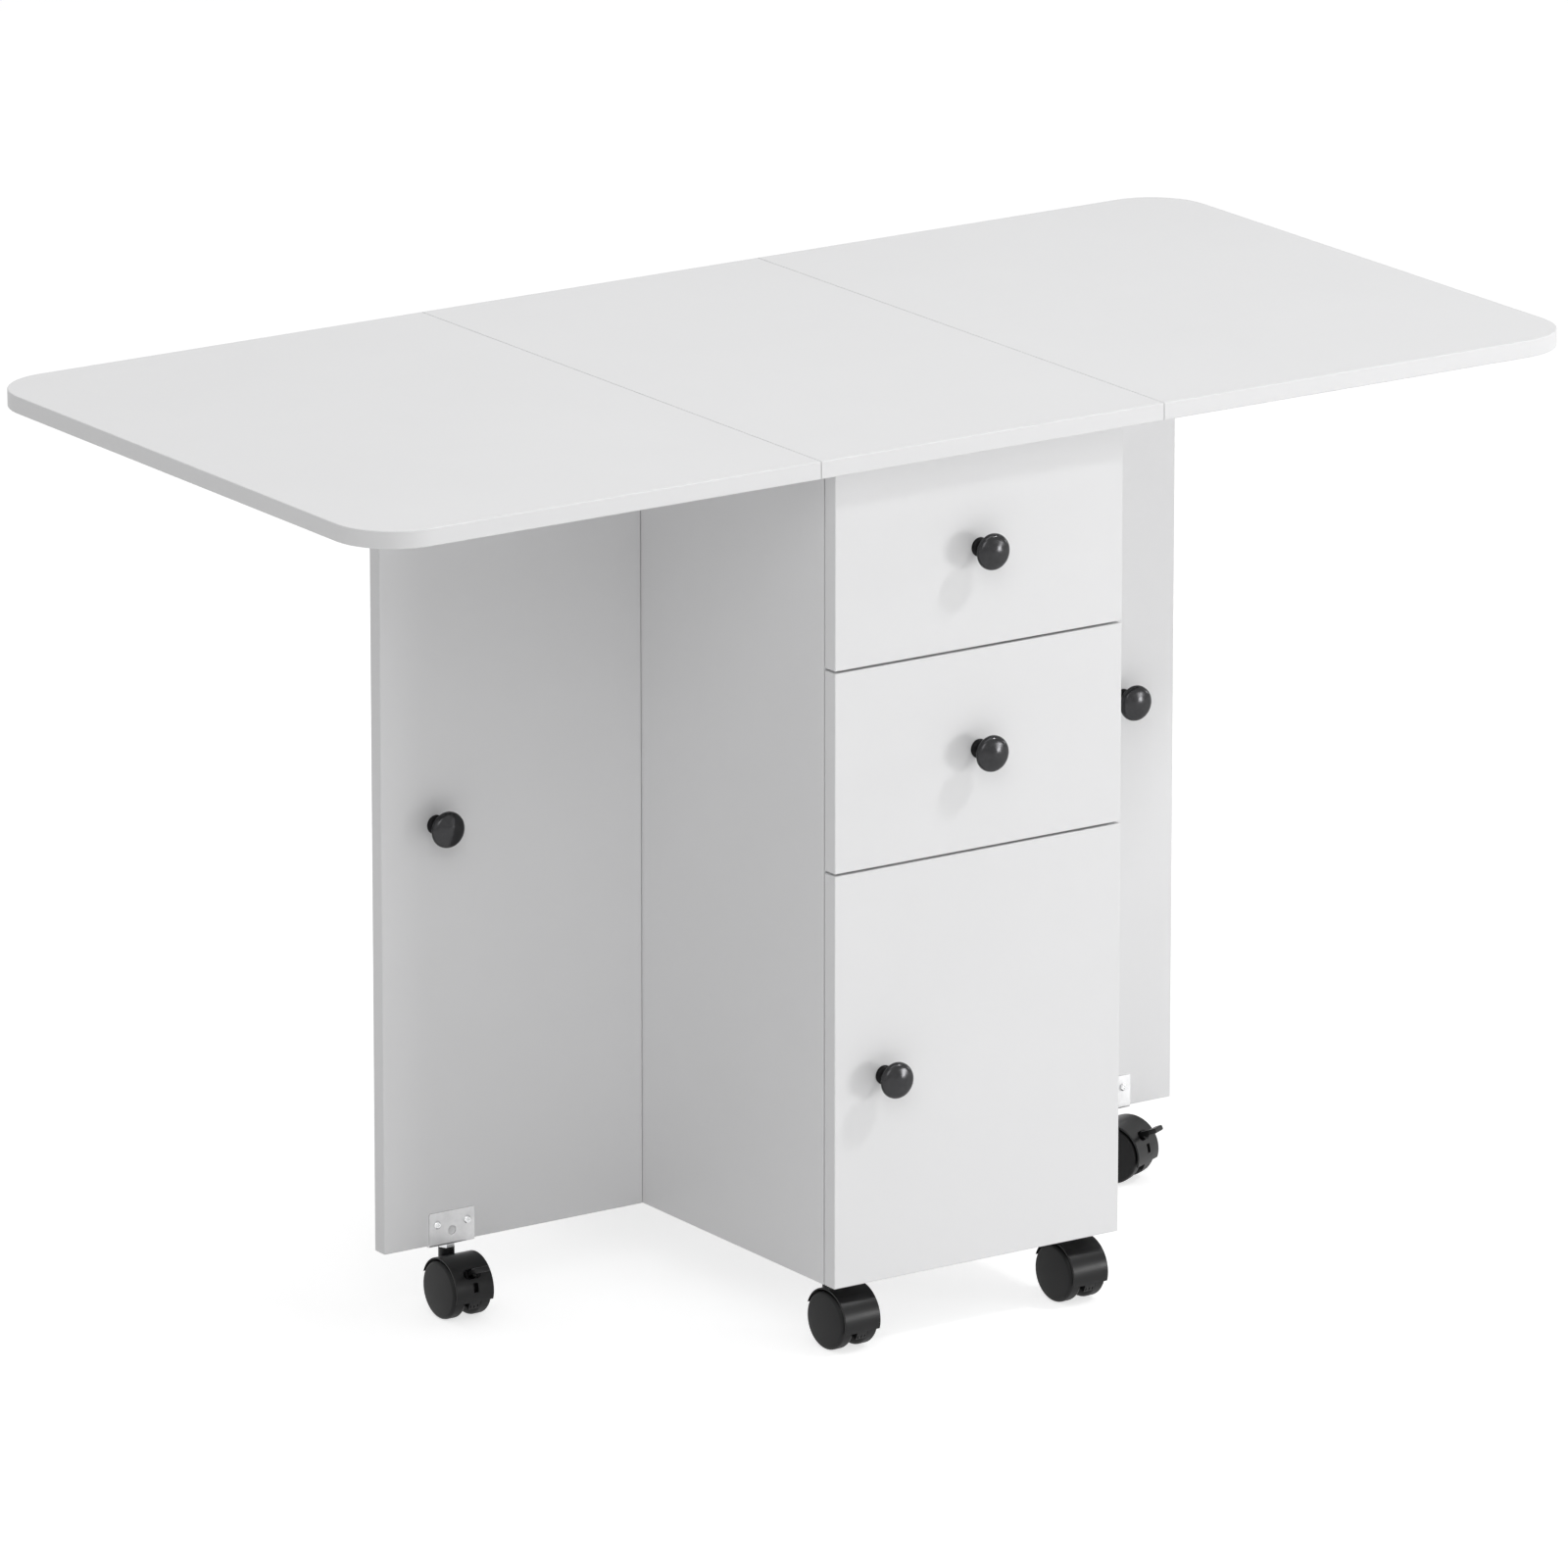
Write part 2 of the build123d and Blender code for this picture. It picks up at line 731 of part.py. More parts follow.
def drawer_sides(heights):
    """Return the two grooved sides of one drawer box."""
    low = heights[0] + box_rise
    middle = low + box_height / 2
    panel = softened(box_inner, box_half, y_fronts_back, box_end, low, low + box_height, carcass_round)
    sheet_low = low + bottom_rise
    sheet_high = sheet_low + bottom_sheet
    panel -= block(box_inner, box_inner + groove_depth, y_fronts_back, box_end, sheet_low, sheet_high)
    groove_half = strip_height / 2 + strip_running_clearance
    groove_start = strip_y - strip_end_gap
    groove_x = box_half - strip_groove_depth
    panel -= block(groove_x, box_half, groove_start, box_end, middle - groove_half, middle + groove_half)
    return [panel, handed(panel, LEFT)]


def drawer_back(heights):
    """Return the back of one drawer box, standing on the bottom sheet."""
    low = heights[0] + box_rise + bottom_rise + bottom_sheet
    high = heights[0] + box_rise + box_height
    return softened(-box_inner, box_inner, box_end - box_side, box_end, low, high, carcass_round)


def drawer_bottom(heights):
    """Return the thin sheet held in the grooves of one drawer box."""
    low = heights[0] + box_rise + bottom_rise
    half = box_inner + groove_depth
    return block(-half, half, y_fronts_back - groove_depth, box_end, low, low + bottom_sheet)


# Door
def flange_places():
    """Return the screw places of the door hinge flanges."""
    y = y_fronts_back + flange_thickness
    x = cup_x - flange_screw_offset
    steps = (-flange_screw_spread / 2, flange_screw_spread / 2)
    return [((x, y, z + step), (0, -1, 0)) for z in door_hinge_z for step in steps]


def door_panel():
    """Return the door with its hinge pockets."""
    low, high = door_heights
    panel = softened(-half_cabinet, half_cabinet, y_front, y_fronts_back, low, high, edge_round)
    for z in door_hinge_z:
        panel -= rod((cup_x, y_fronts_back, z), (0, -1, 0), cup_radius, cup_depth)
    knob_x = door_knob_inset - half_cabinet
    panel -= rod((knob_x, y_front, (low + high) / 2), (0, 1, 0), knob_screw_radius, board)
    return bored(panel, flange_places(), screw_radius, door_screw_length)


def door_cups():
    """Return the pressed hinge cups in the door with their pins and screws."""
    shapes = []
    for z in door_hinge_z:
        cup = rod((cup_x, y_fronts_back, z), (0, -1, 0), cup_radius, cup_depth)
        flange = block(cup_x - flange_width / 2, cup_x + flange_width / 2, y_fronts_back,
                       y_fronts_back + flange_thickness, z - flange_height / 2, z + flange_height / 2)
        cup += fillet(flange.edges().filter_by(Axis.Y), flange_round)
        hollow = cup_radius - cup_wall
        mouth = (cup_x, y_fronts_back + flange_thickness, z)
        cup -= rod(mouth, (0, -1, 0), hollow, cup_depth - cup_wall + flange_thickness)
        pin_start = (door_pin_x, door_pin_y, z - door_pin_length / 2)
        pin = rod(pin_start, (0, 0, 1), door_pin_radius, door_pin_length)
        pin = pin & rod((cup_x, y_fronts_back, z), (0, -1, 0), cup_radius, cup_depth)
        cup -= pin
        cup = bored(cup, flange_places(), screw_radius, flange_thickness)
        shapes += [cup, pin]
    return shapes + small_screws(flange_places(), door_screw_length)


def door_arms():
    """Return the fixed hinge arms that hold the door pins."""
    arms = []
    half = door_arm_height / 2
    plate_face = inner_half - mount_plate_thickness
    arm_x = plate_face - door_arm_thickness
    start_y = y_carcass + mount_plate_start
    for z in door_hinge_z:
        arm = rod((door_pin_x, door_pin_y, z - half), (0, 0, 1), door_eye_radius, door_arm_height)
        strap_y = door_pin_y - door_arm_thickness / 2
        arm += block(arm_x, door_pin_x, strap_y, strap_y + door_arm_thickness, z - half, z + half)
        arm += block(arm_x, plate_face, strap_y, start_y + mount_plate_length, z - half, z + half)
        arm += block(plate_face, inner_half, start_y, start_y + mount_plate_length,
                     z - mount_plate_height / 2, z + mount_plate_height / 2)
        bore = door_pin_radius + pin_clearance
        arm -= rod((door_pin_x, door_pin_y, z - half), (0, 0, 1), bore, door_arm_height)
        arms.append(bored(arm, mount_places(), screw_radius, mount_plate_thickness))
    return arms


# Gates
def bracket_places():
    """Return the screw places of the right-hand castor bracket."""
    y = gate_y - bracket_thickness
    z = cabinet_bottom + bracket_screw_height
    steps = (-bracket_screw_spread / 2, bracket_screw_spread / 2)
    return [((bracket_x + step, y, z), (0, 1, 0)) for step in steps]


def gate_panel(side):
    """Return one swinging gate board."""
    panel = softened(gate_start, gate_end, gate_y, gate_back_y, cabinet_bottom, gate_top, edge_round)
    stem_bore = castor_top + stem_reach - cabinet_bottom
    panel -= rod((bracket_x, gate_castor_y, cabinet_bottom), (0, 0, 1), stem_radius, stem_bore)
    panel -= rod((gate_knob_x, gate_y, gate_knob_height), (0, 1, 0), knob_screw_radius, board)
    panel = bored(panel, bracket_places(), screw_radius, screw_length)
    panel = bored(panel, screw_places(gate_moving_planes(), gate_plate_offset), screw_radius, screw_length)
    return handed(panel, side)


def gate_bracket(side):
    """Return the folded steel bracket that carries one gate castor."""
    low_x = bracket_x - bracket_width / 2
    high_x = bracket_x + bracket_width / 2
    face_y = gate_y - bracket_thickness
    low_z = cabinet_bottom - bracket_thickness
    high_z = cabinet_bottom + bracket_height
    tall = block(low_x, high_x, face_y, gate_y, low_z, high_z)
    tall = fillet(tall.edges().filter_by(Axis.Y).sort_by(Axis.Z)[-2:], bracket_corner)
    folded = tall + block(low_x, high_x, face_y, gate_back_y, low_z, cabinet_bottom)
    bend = folded.edges().filter_by(Axis.X).sort_by(lambda edge: edge.center().Y + edge.center().Z)[0]
    folded = fillet(bend, bracket_bend)
    folded -= rod((bracket_x, face_y, cabinet_bottom + bracket_hole_height), (0, 1, 0), bracket_hole_radius,
                  bracket_thickness)
    folded -= rod((bracket_x, gate_castor_y, low_z), (0, 0, 1), stem_radius, bracket_thickness)
    return handed(bored(folded, bracket_places(), screw_radius, bracket_thickness), side)


def gate_hinge_halves(side):
    """Return the two moving hinge halves on the back of one gate."""
    bore = gate_pin_radius + pin_clearance
    half = hinge_half(gate_hinge_length, gate_plate_offset, gate_knuckle_radius, bore, True)
    return [handed(plane * half, side) for plane in gate_moving_planes()]


def gate_screws(side):
    """Return the hinge and bracket screws of one gate."""
    screws = small_screws(screw_places(gate_moving_planes(), gate_plate_offset))
    for point, way in bracket_places():
        screws.append(screw(point, way, screw_length, pan_head_radius, pan_head_height))
    return [handed(item, side) for item in screws]


# Castors, drawn with the swivel axis along Z and the axle behind it towards -Y
castor_side = Plane(origin=(0, -castor_trail, wheel_radius), x_dir=(0, -1, 0), z_dir=(-1, 0, 0))


def polar(radius, angle):
    """Return a point of the castor's side view from its distance and angle round the axle."""
    return (radius * math.cos(math.radians(angle)), radius * math.sin(math.radians(angle)))


def wedge(low_angle, high_angle):
    """Return a flat wedge of the castor's side view that reaches beyond the hood."""
    turn = (high_angle - low_angle) / wedge_steps
    rim = [polar(2 * hood_radius, low_angle + turn * step) for step in range(wedge_steps + 1)]
    return make_face(Polyline((0, 0), *rim, close=True))


def thick(flat, width, offset=0.0):
    """Return a side-view shape given a width across the castor."""
    solid = extrude(flat, amount=width / 2, both=True)
    return Pos(offset, 0, 0) * (castor_side * solid)


def stadium(start, end, radius):
    """Return a flat bar with round ends between two points of the side view."""
    ends = (Pos(*start) * Circle(radius)).edges() + (Pos(*end) * Circle(radius)).edges()
    return make_hull(ends)


def hood_outline():
    """Return the hood's outer circle, whose middle lies ahead of the axle and above it."""
    return Pos(hood_forward, hood_rise) * Circle(hood_radius)


def hood_bore():
    """Return the circle inside the hood, set back so that the wall thins towards the rear edge."""
    return Pos(hood_forward - hood_wall_shift, hood_rise - hood_wall_shift) * Circle(hood_bore_radius)


def hood(braked):
    """Return the moulded castor hood with its web, chin and swivel neck."""
    ring = hood_outline() - hood_bore()
    shell = thick(ring & wedge(hood_front_angle, hood_rear_angle), hood_width)
    rounds = shell.edges().filter_by(GeomType.CIRCLE)
    rims = rounds.filter_by(lambda edge: abs(edge.radius - hood_radius) < size_match)
    shell = fillet(rims, hood_edge_round)
    profile = hood_outline() & wedge(chin_angle, hood_rear_angle)
    profile += Circle(web_radius) & wedge(hood_rear_angle, web_rear_angle)
    web = thick(profile + Circle(web_hub_radius), 2 * web_half)
    neck = rod((0, 0, neck_low), (0, 0, 1), neck_radius, neck_top - neck_low)
    neck = fillet(neck.edges().sort_by(Axis.Z)[-1], neck_round)
    neck -= thick(hood_bore(), castor_width)
    whole = shell + web + neck
    pin_bottom = swivel_pin_low - swivel_end_gap
    pin_bore = swivel_pin_radius + swivel_clearance
    whole -= rod((0, 0, pin_bottom), (0, 0, 1), pin_bore, neck_top - pin_bottom)
    whole -= thick(Circle(axle_radius + axle_clearance), castor_width)
    rim_ring = Circle(hood_radius + tick_depth) - Circle(hood_radius - tick_depth)
    for step in (-1, 0, 1):
        whole -= thick(rim_ring & wedge(tick_low_angle, tick_high_angle), tick_width, step * tick_pitch)
    return brake_openings(whole) if braked else whole


def lever_points():
    """Return the pivot, inner end and outer neck of the brake lever in the side view."""
    return (polar(lever_pivot_reach, lever_pivot_angle), (lever_end_forward, 0),
            polar(lever_neck_reach, lever_neck_angle))


def scoop():
    """Return the round-ended hollow in the hood that the brake lever comes out of."""
    middle = polar(scoop_reach, scoop_angle)
    hollow = thick(Pos(*middle) * Circle(scoop_radius), 2 * scoop_half_span)
    for side in (LEFT, RIGHT):
        ball = castor_side * (Pos(*middle) * Sphere(scoop_radius))
        hollow += Pos(side * scoop_half_span, 0, 0) * ball
    return hollow


def brake_openings(whole):
    """Return a hood opened for the brake lever and the slot below it."""
    pivot, inner_end, neck_end = lever_points()
    inner_room = lever_arm_thickness / 2 + lever_room
    neck_room = lever_neck_thickness / 2 + lever_room
    sweep = Pos(*pivot) * Circle(lever_boss_radius + lever_room)
    for step in range(sweep_steps + 1):
        part_turn = Rot(0, 0, -lever_travel * step / sweep_steps)
        turned = Pos(*pivot) * part_turn * Pos(-pivot[0], -pivot[1])
        sweep += turned * stadium(pivot, inner_end, inner_room)
        sweep += turned * stadium(pivot, neck_end, neck_room)
    whole -= thick(sweep, lever_arm_width + 2 * lever_room)
    whole -= thick(Pos(*pivot) * Circle(lever_trunnion_radius + axle_clearance), 2 * web_half)
    whole -= scoop()
    mouth = Circle(2 * hood_radius) - Circle(hood_radius - brake_slot_depth)
    slot = mouth & wedge(brake_slot_low, brake_slot_high)
    return whole - thick(slot, brake_slot_width, brake_slot_offset)


def brake_lever():
    """Return the brake lever: arm beside the axle, trunnions in the web and a tongue outside the hood."""
    pivot, inner_end, neck_end = lever_points()
    arm = Pos(*pivot) * Circle(lever_boss_radius)
    arm += stadium(pivot, inner_end, lever_arm_thickness / 2)
    arm += stadium(pivot, neck_end, lever_neck_thickness / 2)
    lever = thick(arm, lever_arm_width)
    lever += thick(Pos(*pivot) * Circle(lever_trunnion_radius), 2 * (web_half - lever_trunnion_gap))
    middle = Pos(*polar(tongue_reach, tongue_angle)) * Rot(0, 0, tongue_tilt)
    tongue = thick(middle * Rectangle(tongue_length, tongue_thickness), tongue_width, tongue_offset)
    return lever + fillet(tongue.edges(), tongue_round)


def wheel_pair():
    """Return two wheels pressed on one axle."""
    inner = castor_width / 2 - wheel_width
    outer = castor_width / 2
    rim = outer - dome_height
    tread = wheel_radius
    start = (inner, tread - inner_round)
    roll_end = (inner + inner_round, tread)
    shoulder = (rim, tread)
    lines = [
        Line((inner, 0), start),
        RadiusArc(start, roll_end, inner_round),
        Line(roll_end, shoulder),
        Spline(shoulder, (outer, 0), tangents=((dome_slope, -1), (0, -1))),
        Line((outer, 0), (inner, 0)),
    ]
    wheel = revolve(make_face(Wire(lines)), Axis.X)
    rounds = wheel.edges().filter_by(GeomType.CIRCLE)
    edges = rounds.filter_by(lambda edge: abs(edge.radius - tread) < size_match)
    wheel = fillet(edges.sort_by(Axis.X)[-1], shoulder_round)
    half_axle = outer - hub_cover
    axle = rod((-half_axle, 0, 0), (1, 0, 0), axle_radius, 2 * half_axle)
    wheel -= axle
    shapes = [wheel, wheel.mirror(Plane.YZ), axle]
    return [Pos(0, -castor_trail, wheel_radius) * shape for shape in shapes]


def stem():
    """Return the castor stem and its lock nut."""
    pin = rod((0, 0, swivel_pin_low), (0, 0, 1), swivel_pin_radius, nut_bottom - swivel_pin_low)
    pin += rod((0, 0, nut_bottom), (0, 0, 1), stem_radius, castor_top + stem_reach - nut_bottom)
    hexagon = RegularPolygon(lock_nut_across / 2, 6, major_radius=False)
    nut = Pos(0, 0, nut_bottom) * extrude(hexagon, amount=castor_top - nut_bottom)
    nut -= rod((0, 0, nut_bottom), (0, 0, 1), stem_radius, castor_top - nut_bottom)
    return [pin, nut]


def insert_nut():
    """Return the flanged insert nut that holds a stem in the bottom board."""
    nut = rod((0, 0, castor_top), (0, 0, 1), insert_flange_radius, cabinet_bottom - castor_top)
    nut += rod((0, 0, cabinet_bottom), (0, 0, 1), insert_radius, insert_length)
    bore_length = cabinet_bottom - castor_top + insert_length
    return nut - rod((0, 0, castor_top), (0, 0, 1), stem_radius, bore_length)


def placed(shapes, x, y, turn):
    """Return castor shapes stood at one place and turned round the swivel axis."""
    return [Pos(x, y, 0) * Rot(0, 0, turn) * shape for shape in shapes]


# Write every piece
os.makedirs("parts", exist_ok=True)
sides = {"left": LEFT, "right": RIGHT}
save("centre_top", [centre_top()])
save("left_side_panel", [side_panel(LEFT)])
save("right_side_panel", [side_panel(RIGHT)])
save("bottom_board", [bottom_board()])
save("drawer_shelf", [drawer_shelf()])
save("back_panel", [back_panel()])
all_rows = joint_rows(LEFT) + joint_rows(RIGHT)
cams = [cam_lock(point, way, cam_way) for row, point, way, cam_way, run in all_rows]
bolts = [cam_bolt(point, way) for row, point, way, cam_way, run in all_rows]
save("cam_locks_and_bolts", cams + bolts)
save("wooden_dowels", [dowel(point, way, run) for row, point, way, cam_way, run in all_rows])
save("drawer_runner_strips", runner_strips())
save("leaf_hinge_fixed_halves", leaf_fixed_halves())
save("gate_hinge_fixed_halves", gate_fixed_halves())
save("door_hinge_arms", door_arms())
save("cabinet_screws", cabinet_screws())
stands = castor_stands()
save("cabinet_castor_stems", [item for x, y in stands for item in placed(stem(), x, y, 0)])
save("castor_insert_nuts", [Pos(x, y, 0) * insert_nut() for x, y in stands])
for name, side in sides.items():
    save(name + "_leaf_board", [leaf_board(side)])
    save(name + "_leaf_hinge_halves", leaf_hinge_halves(side))
    save(name + "_leaf_pad", [leaf_pad(side)])
    save(name + "_gate_panel", [gate_panel(side)])
    save(name + "_gate_bracket", [gate_bracket(side)])
    save(name + "_gate_hinge_halves", gate_hinge_halves(side))
    save(name + "_gate_screws", gate_screws(side))
    save(name + "_gate_knob", knob(side * gate_knob_x, gate_y, gate_knob_height))
    save(name + "_gate_castor_stem", placed(stem(), side * bracket_x, gate_castor_y, 0))
for name, heights in {"upper": upper_front, "lower": lower_front}.items():
    save(name + "_drawer_front", [drawer_front(heights)])
    save(name + "_drawer_sides", drawer_sides(heights))
    save(name + "_drawer_back", [drawer_back(heights)])
    save(name + "_drawer_bottom", [drawer_bottom(heights)])
    save(name + "_drawer_knob", knob(0, y_front, sum(heights) / 2))
save("door_panel", [door_panel()])
save("door_knob", knob(door_knob_inset - half_cabinet, y_front, sum(door_heights) / 2))
save("door_hinge_cups", door_cups())
castors = {
    "front_left": (*stands[0], front_castor_turn),
    "front_right": (*stands[1], front_castor_turn),
    "rear_left": (*stands[2], rear_castor_turn),
    "rear_right": (*stands[3], rear_castor_turn),
    "left_gate": (-bracket_x, gate_castor_y, left_gate_castor_turn),
    "right_gate": (bracket_x, gate_castor_y, right_gate_castor_turn),
}
for name, (x, y, turn) in castors.items():
    on_gate = name.endswith("gate")
    save(name + "_castor_hood", placed([hood(on_gate)], x, y, turn))
    save(name + "_castor_wheels", placed(wheel_pair(), x, y, turn))
    if on_gate:
        save(name + "_brake_lever", placed([brake_lever()], x, y, turn))
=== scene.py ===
import bpy
import math
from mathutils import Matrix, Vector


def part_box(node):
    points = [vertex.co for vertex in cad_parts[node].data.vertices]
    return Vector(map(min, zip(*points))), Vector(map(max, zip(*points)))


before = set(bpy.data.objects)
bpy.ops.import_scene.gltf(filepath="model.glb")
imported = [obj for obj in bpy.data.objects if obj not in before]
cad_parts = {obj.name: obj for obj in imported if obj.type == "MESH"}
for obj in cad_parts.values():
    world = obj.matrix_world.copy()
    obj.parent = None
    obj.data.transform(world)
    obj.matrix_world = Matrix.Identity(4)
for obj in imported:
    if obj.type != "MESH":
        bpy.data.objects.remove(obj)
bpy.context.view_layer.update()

# Cabinet boards. Chipboard, 15 mm thick, faced with white melamine paper that is pressed on hot,
# so it has a faint orange-peel skin. A strip of white plastic is glued round the cut edges.
# The boards are pulled together by cam locks and dowels that don't show from outside.
white_paper = (0.80, 0.80, 0.805)
paper_specular = 0.4
peel_depth = 0.00005
peel_strength = 0.25
arris_reach = 0.0007
arris_patch_scale = 60.0
arris_polish = 0.12
noise_low = 0.3
noise_high = 0.7


def sockets(group, direction, names):
    for name, kind, value in names:
        made = group.interface.new_socket(name=name, in_out=direction, socket_type=kind)
        if value is not None:
            made.default_value = value


def shader_group(name, inputs, outputs):
    group = bpy.data.node_groups.new(name, "ShaderNodeTree")
    sockets(group, "INPUT", inputs)
    sockets(group, "OUTPUT", [(title, kind, None) for title, kind in outputs])
    entry = group.nodes.new("NodeGroupInput")
    exit_node = group.nodes.new("NodeGroupOutput")
    return group, entry, exit_node


def feed(tree, value, socket):
    if hasattr(value, "is_output"):
        tree.links.new(value, socket)
    else:
        socket.default_value = value


def object_place(tree):
    return tree.nodes.new("ShaderNodeTexCoord").outputs["Object"]


def noise(tree, place, scale, detail=2.0, roughness=0.5):
    node = tree.nodes.new("ShaderNodeTexNoise")
    feed(tree, scale, node.inputs["Scale"])
    node.inputs["Detail"].default_value = detail
    node.inputs["Roughness"].default_value = roughness
    tree.links.new(place, node.inputs["Vector"])
    return node.outputs["Fac"]


def stretch(tree, value, low, high, to_low, to_high):
    node = tree.nodes.new("ShaderNodeMapRange")
    ends = (("From Min", low), ("From Max", high), ("To Min", to_low), ("To Max", to_high))
    for name, number in ends:
        feed(tree, number, node.inputs[name])
    tree.links.new(value, node.inputs["Value"])
    return node.outputs["Result"]


def varied(tree, pattern, low, high):
    return stretch(tree, pattern, noise_low, noise_high, low, high)


def faded(tree, mask, off, on):
    return stretch(tree, mask, 0.0, 1.0, off, on)


def sums(tree, operation, first, second=0.0):
    node = tree.nodes.new("ShaderNodeMath")
    node.operation = operation
    feed(tree, first, node.inputs[0])
    feed(tree, second, node.inputs[1])
    return node.outputs["Value"]


def shaded(tree, colour, value):
    node = tree.nodes.new("ShaderNodeVectorMath")
    node.operation = "SCALE"
    feed(tree, colour, node.inputs[0])
    feed(tree, value, node.inputs["Scale"])
    return node.outputs["Vector"]


def towards(tree, direction):
    place = tree.nodes.new("ShaderNodeTexCoord")
    facing = tree.nodes.new("ShaderNodeVectorMath")
    facing.operation = "DOT_PRODUCT"
    tree.links.new(place.outputs["Normal"], facing.inputs[0])
    feed(tree, direction, facing.inputs[1])
    return sums(tree, "ABSOLUTE", facing.outputs["Value"])


def edge_wear():
    bevel_samples = 6
    flat_turn = 0.995
    worn_turn = 0.86
    group, entry, out = shader_group(
        "Edge wear",
        [("Reach", "NodeSocketFloat", 0.0006), ("Break up", "NodeSocketFloat", 180.0)],
        [("Edge", "NodeSocketFloat")])
    bevel = group.nodes.new("ShaderNodeBevel")
    bevel.samples = bevel_samples
    group.links.new(entry.outputs["Reach"], bevel.inputs["Radius"])
    true_face = group.nodes.new("ShaderNodeNewGeometry")
    turned = group.nodes.new("ShaderNodeVectorMath")
    turned.operation = "DOT_PRODUCT"
    group.links.new(bevel.outputs["Normal"], turned.inputs[0])
    group.links.new(true_face.outputs["Normal"], turned.inputs[1])
    sharp = stretch(group, turned.outputs["Value"], flat_turn, worn_turn, 0.0, 1.0)
    patches = noise(group, object_place(group), entry.outputs["Break up"], detail=3.0)
    patchy = stretch(group, patches, low=0.35, high=0.6, to_low=0.25, to_high=1.0)
    group.links.new(sums(group, "MULTIPLY", sharp, patchy), out.inputs["Edge"])
    return group


wear = edge_wear()


def worn_edges(tree, reach, break_up):
    node = tree.nodes.new("ShaderNodeGroup")
    node.node_tree = wear
    node.inputs["Reach"].default_value = reach
    node.inputs["Break up"].default_value = break_up
    return node.outputs["Edge"]


def melamine_skin():
    glue_line_turn = 0.86
    glue_line_width = 0.07
    glue_line_tone = 0.93
    strip_polish = 0.08
    group, entry, out = shader_group(
        "Melamine skin",
        [("Colour", "NodeSocketColor", white_paper + (1.0,)),
         ("Thin axis", "NodeSocketVector", (0, 0, 1)),
         ("Peel size", "NodeSocketFloat", 900.0),
         ("Strip tone", "NodeSocketFloat", 0.985)],
        [("Colour", "NodeSocketColor"), ("Roughness", "NodeSocketFloat"), ("Height", "NodeSocketFloat")])
    place = object_place(group)
    peel = noise(group, place, entry.outputs["Peel size"], detail=3.0, roughness=0.55)
    cloud = noise(group, place, scale=7.0, detail=4.0, roughness=0.6)
    dust = noise(group, place, scale=240.0)
    flat = towards(group, entry.outputs["Thin axis"])
    strip = stretch(group, flat, low=0.55, high=0.45, to_low=0.0, to_high=1.0)
    from_line = sums(group, "ABSOLUTE", sums(group, "SUBTRACT", flat, glue_line_turn))
    glue_line = stretch(group, from_line, 0.0, glue_line_width, glue_line_tone, 1.0)
    tone = sums(group, "MULTIPLY", varied(group, cloud, low=0.992, high=1.006), glue_line)
    tone = sums(group, "MULTIPLY", tone, faded(group, strip, 1.0, entry.outputs["Strip tone"]))
    group.links.new(shaded(group, entry.outputs["Colour"], tone), out.inputs["Colour"])
    rough = varied(group, dust, low=0.46, high=0.54)
    rough = sums(group, "SUBTRACT", rough, faded(group, strip, 0.0, strip_polish))
    group.links.new(rough, out.inputs["Roughness"])
    group.links.new(peel, out.inputs["Height"])
    return group


skin = melamine_skin()


def base_material(name):
    material = bpy.data.materials.new(name)
    material.use_nodes = True
    return material, material.node_tree, material.node_tree.nodes["Principled BSDF"]


def add_bump(tree, shader, height, depth, strength):
    bump = tree.nodes.new("ShaderNodeBump")
    bump.inputs["Distance"].default_value = depth
    bump.inputs["Strength"].default_value = strength
    tree.links.new(height, bump.inputs["Height"])
    tree.links.new(bump.outputs["Normal"], shader.inputs["Normal"])


def melamine(name, thin_axis):
    material, tree, shader = base_material(name)
    node = tree.nodes.new("ShaderNodeGroup")
    node.node_tree = skin
    node.inputs["Colour"].default_value = white_paper + (1.0,)
    node.inputs["Thin axis"].default_value = thin_axis
    tree.links.new(node.outputs["Colour"], shader.inputs["Base Color"])
    rubbed = faded(tree, worn_edges(tree, arris_reach, arris_patch_scale), 0.0, arris_polish)
    tree.links.new(sums(tree, "SUBTRACT", node.outputs["Roughness"], rubbed), shader.inputs["Roughness"])
    add_bump(tree, shader, node.outputs["Height"], peel_depth, peel_strength)
    shader.inputs["Specular IOR Level"].default_value = paper_specular
    return material


def dress(material, *names):
    for name in names:
        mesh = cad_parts[name].data
        mesh.materials.clear()
        mesh.materials.append(material)


standing_side = melamine("melamine side boards", (1, 0, 0))
standing_front = melamine("melamine upright boards", (0, 1, 0))
lying = melamine("melamine level boards", (0, 0, 1))
dress(standing_side, "left_side_panel", "right_side_panel")
dress(standing_front, "back_panel")
dress(lying, "bottom_board", "drawer_shelf")

# Cam locks, bolts and dowels. Cast zinc cams and turned steel bolts pull the boards together over
# ribbed beech pegs. They are sunk in the boards, and show only where a cam is open on the inside.
cast_zinc_colour = (0.60, 0.605, 0.61)
beech_light = (0.60, 0.44, 0.27, 1.0)
beech_dark = (0.44, 0.30, 0.17, 1.0)
along_the_peg = (0.12, 1, 1)


def squeezed_place(tree, squeeze):
    mapping = tree.nodes.new("ShaderNodeMapping")
    mapping.inputs["Scale"].default_value = squeeze
    tree.links.new(object_place(tree), mapping.inputs["Vector"])
    return mapping.outputs["Vector"]


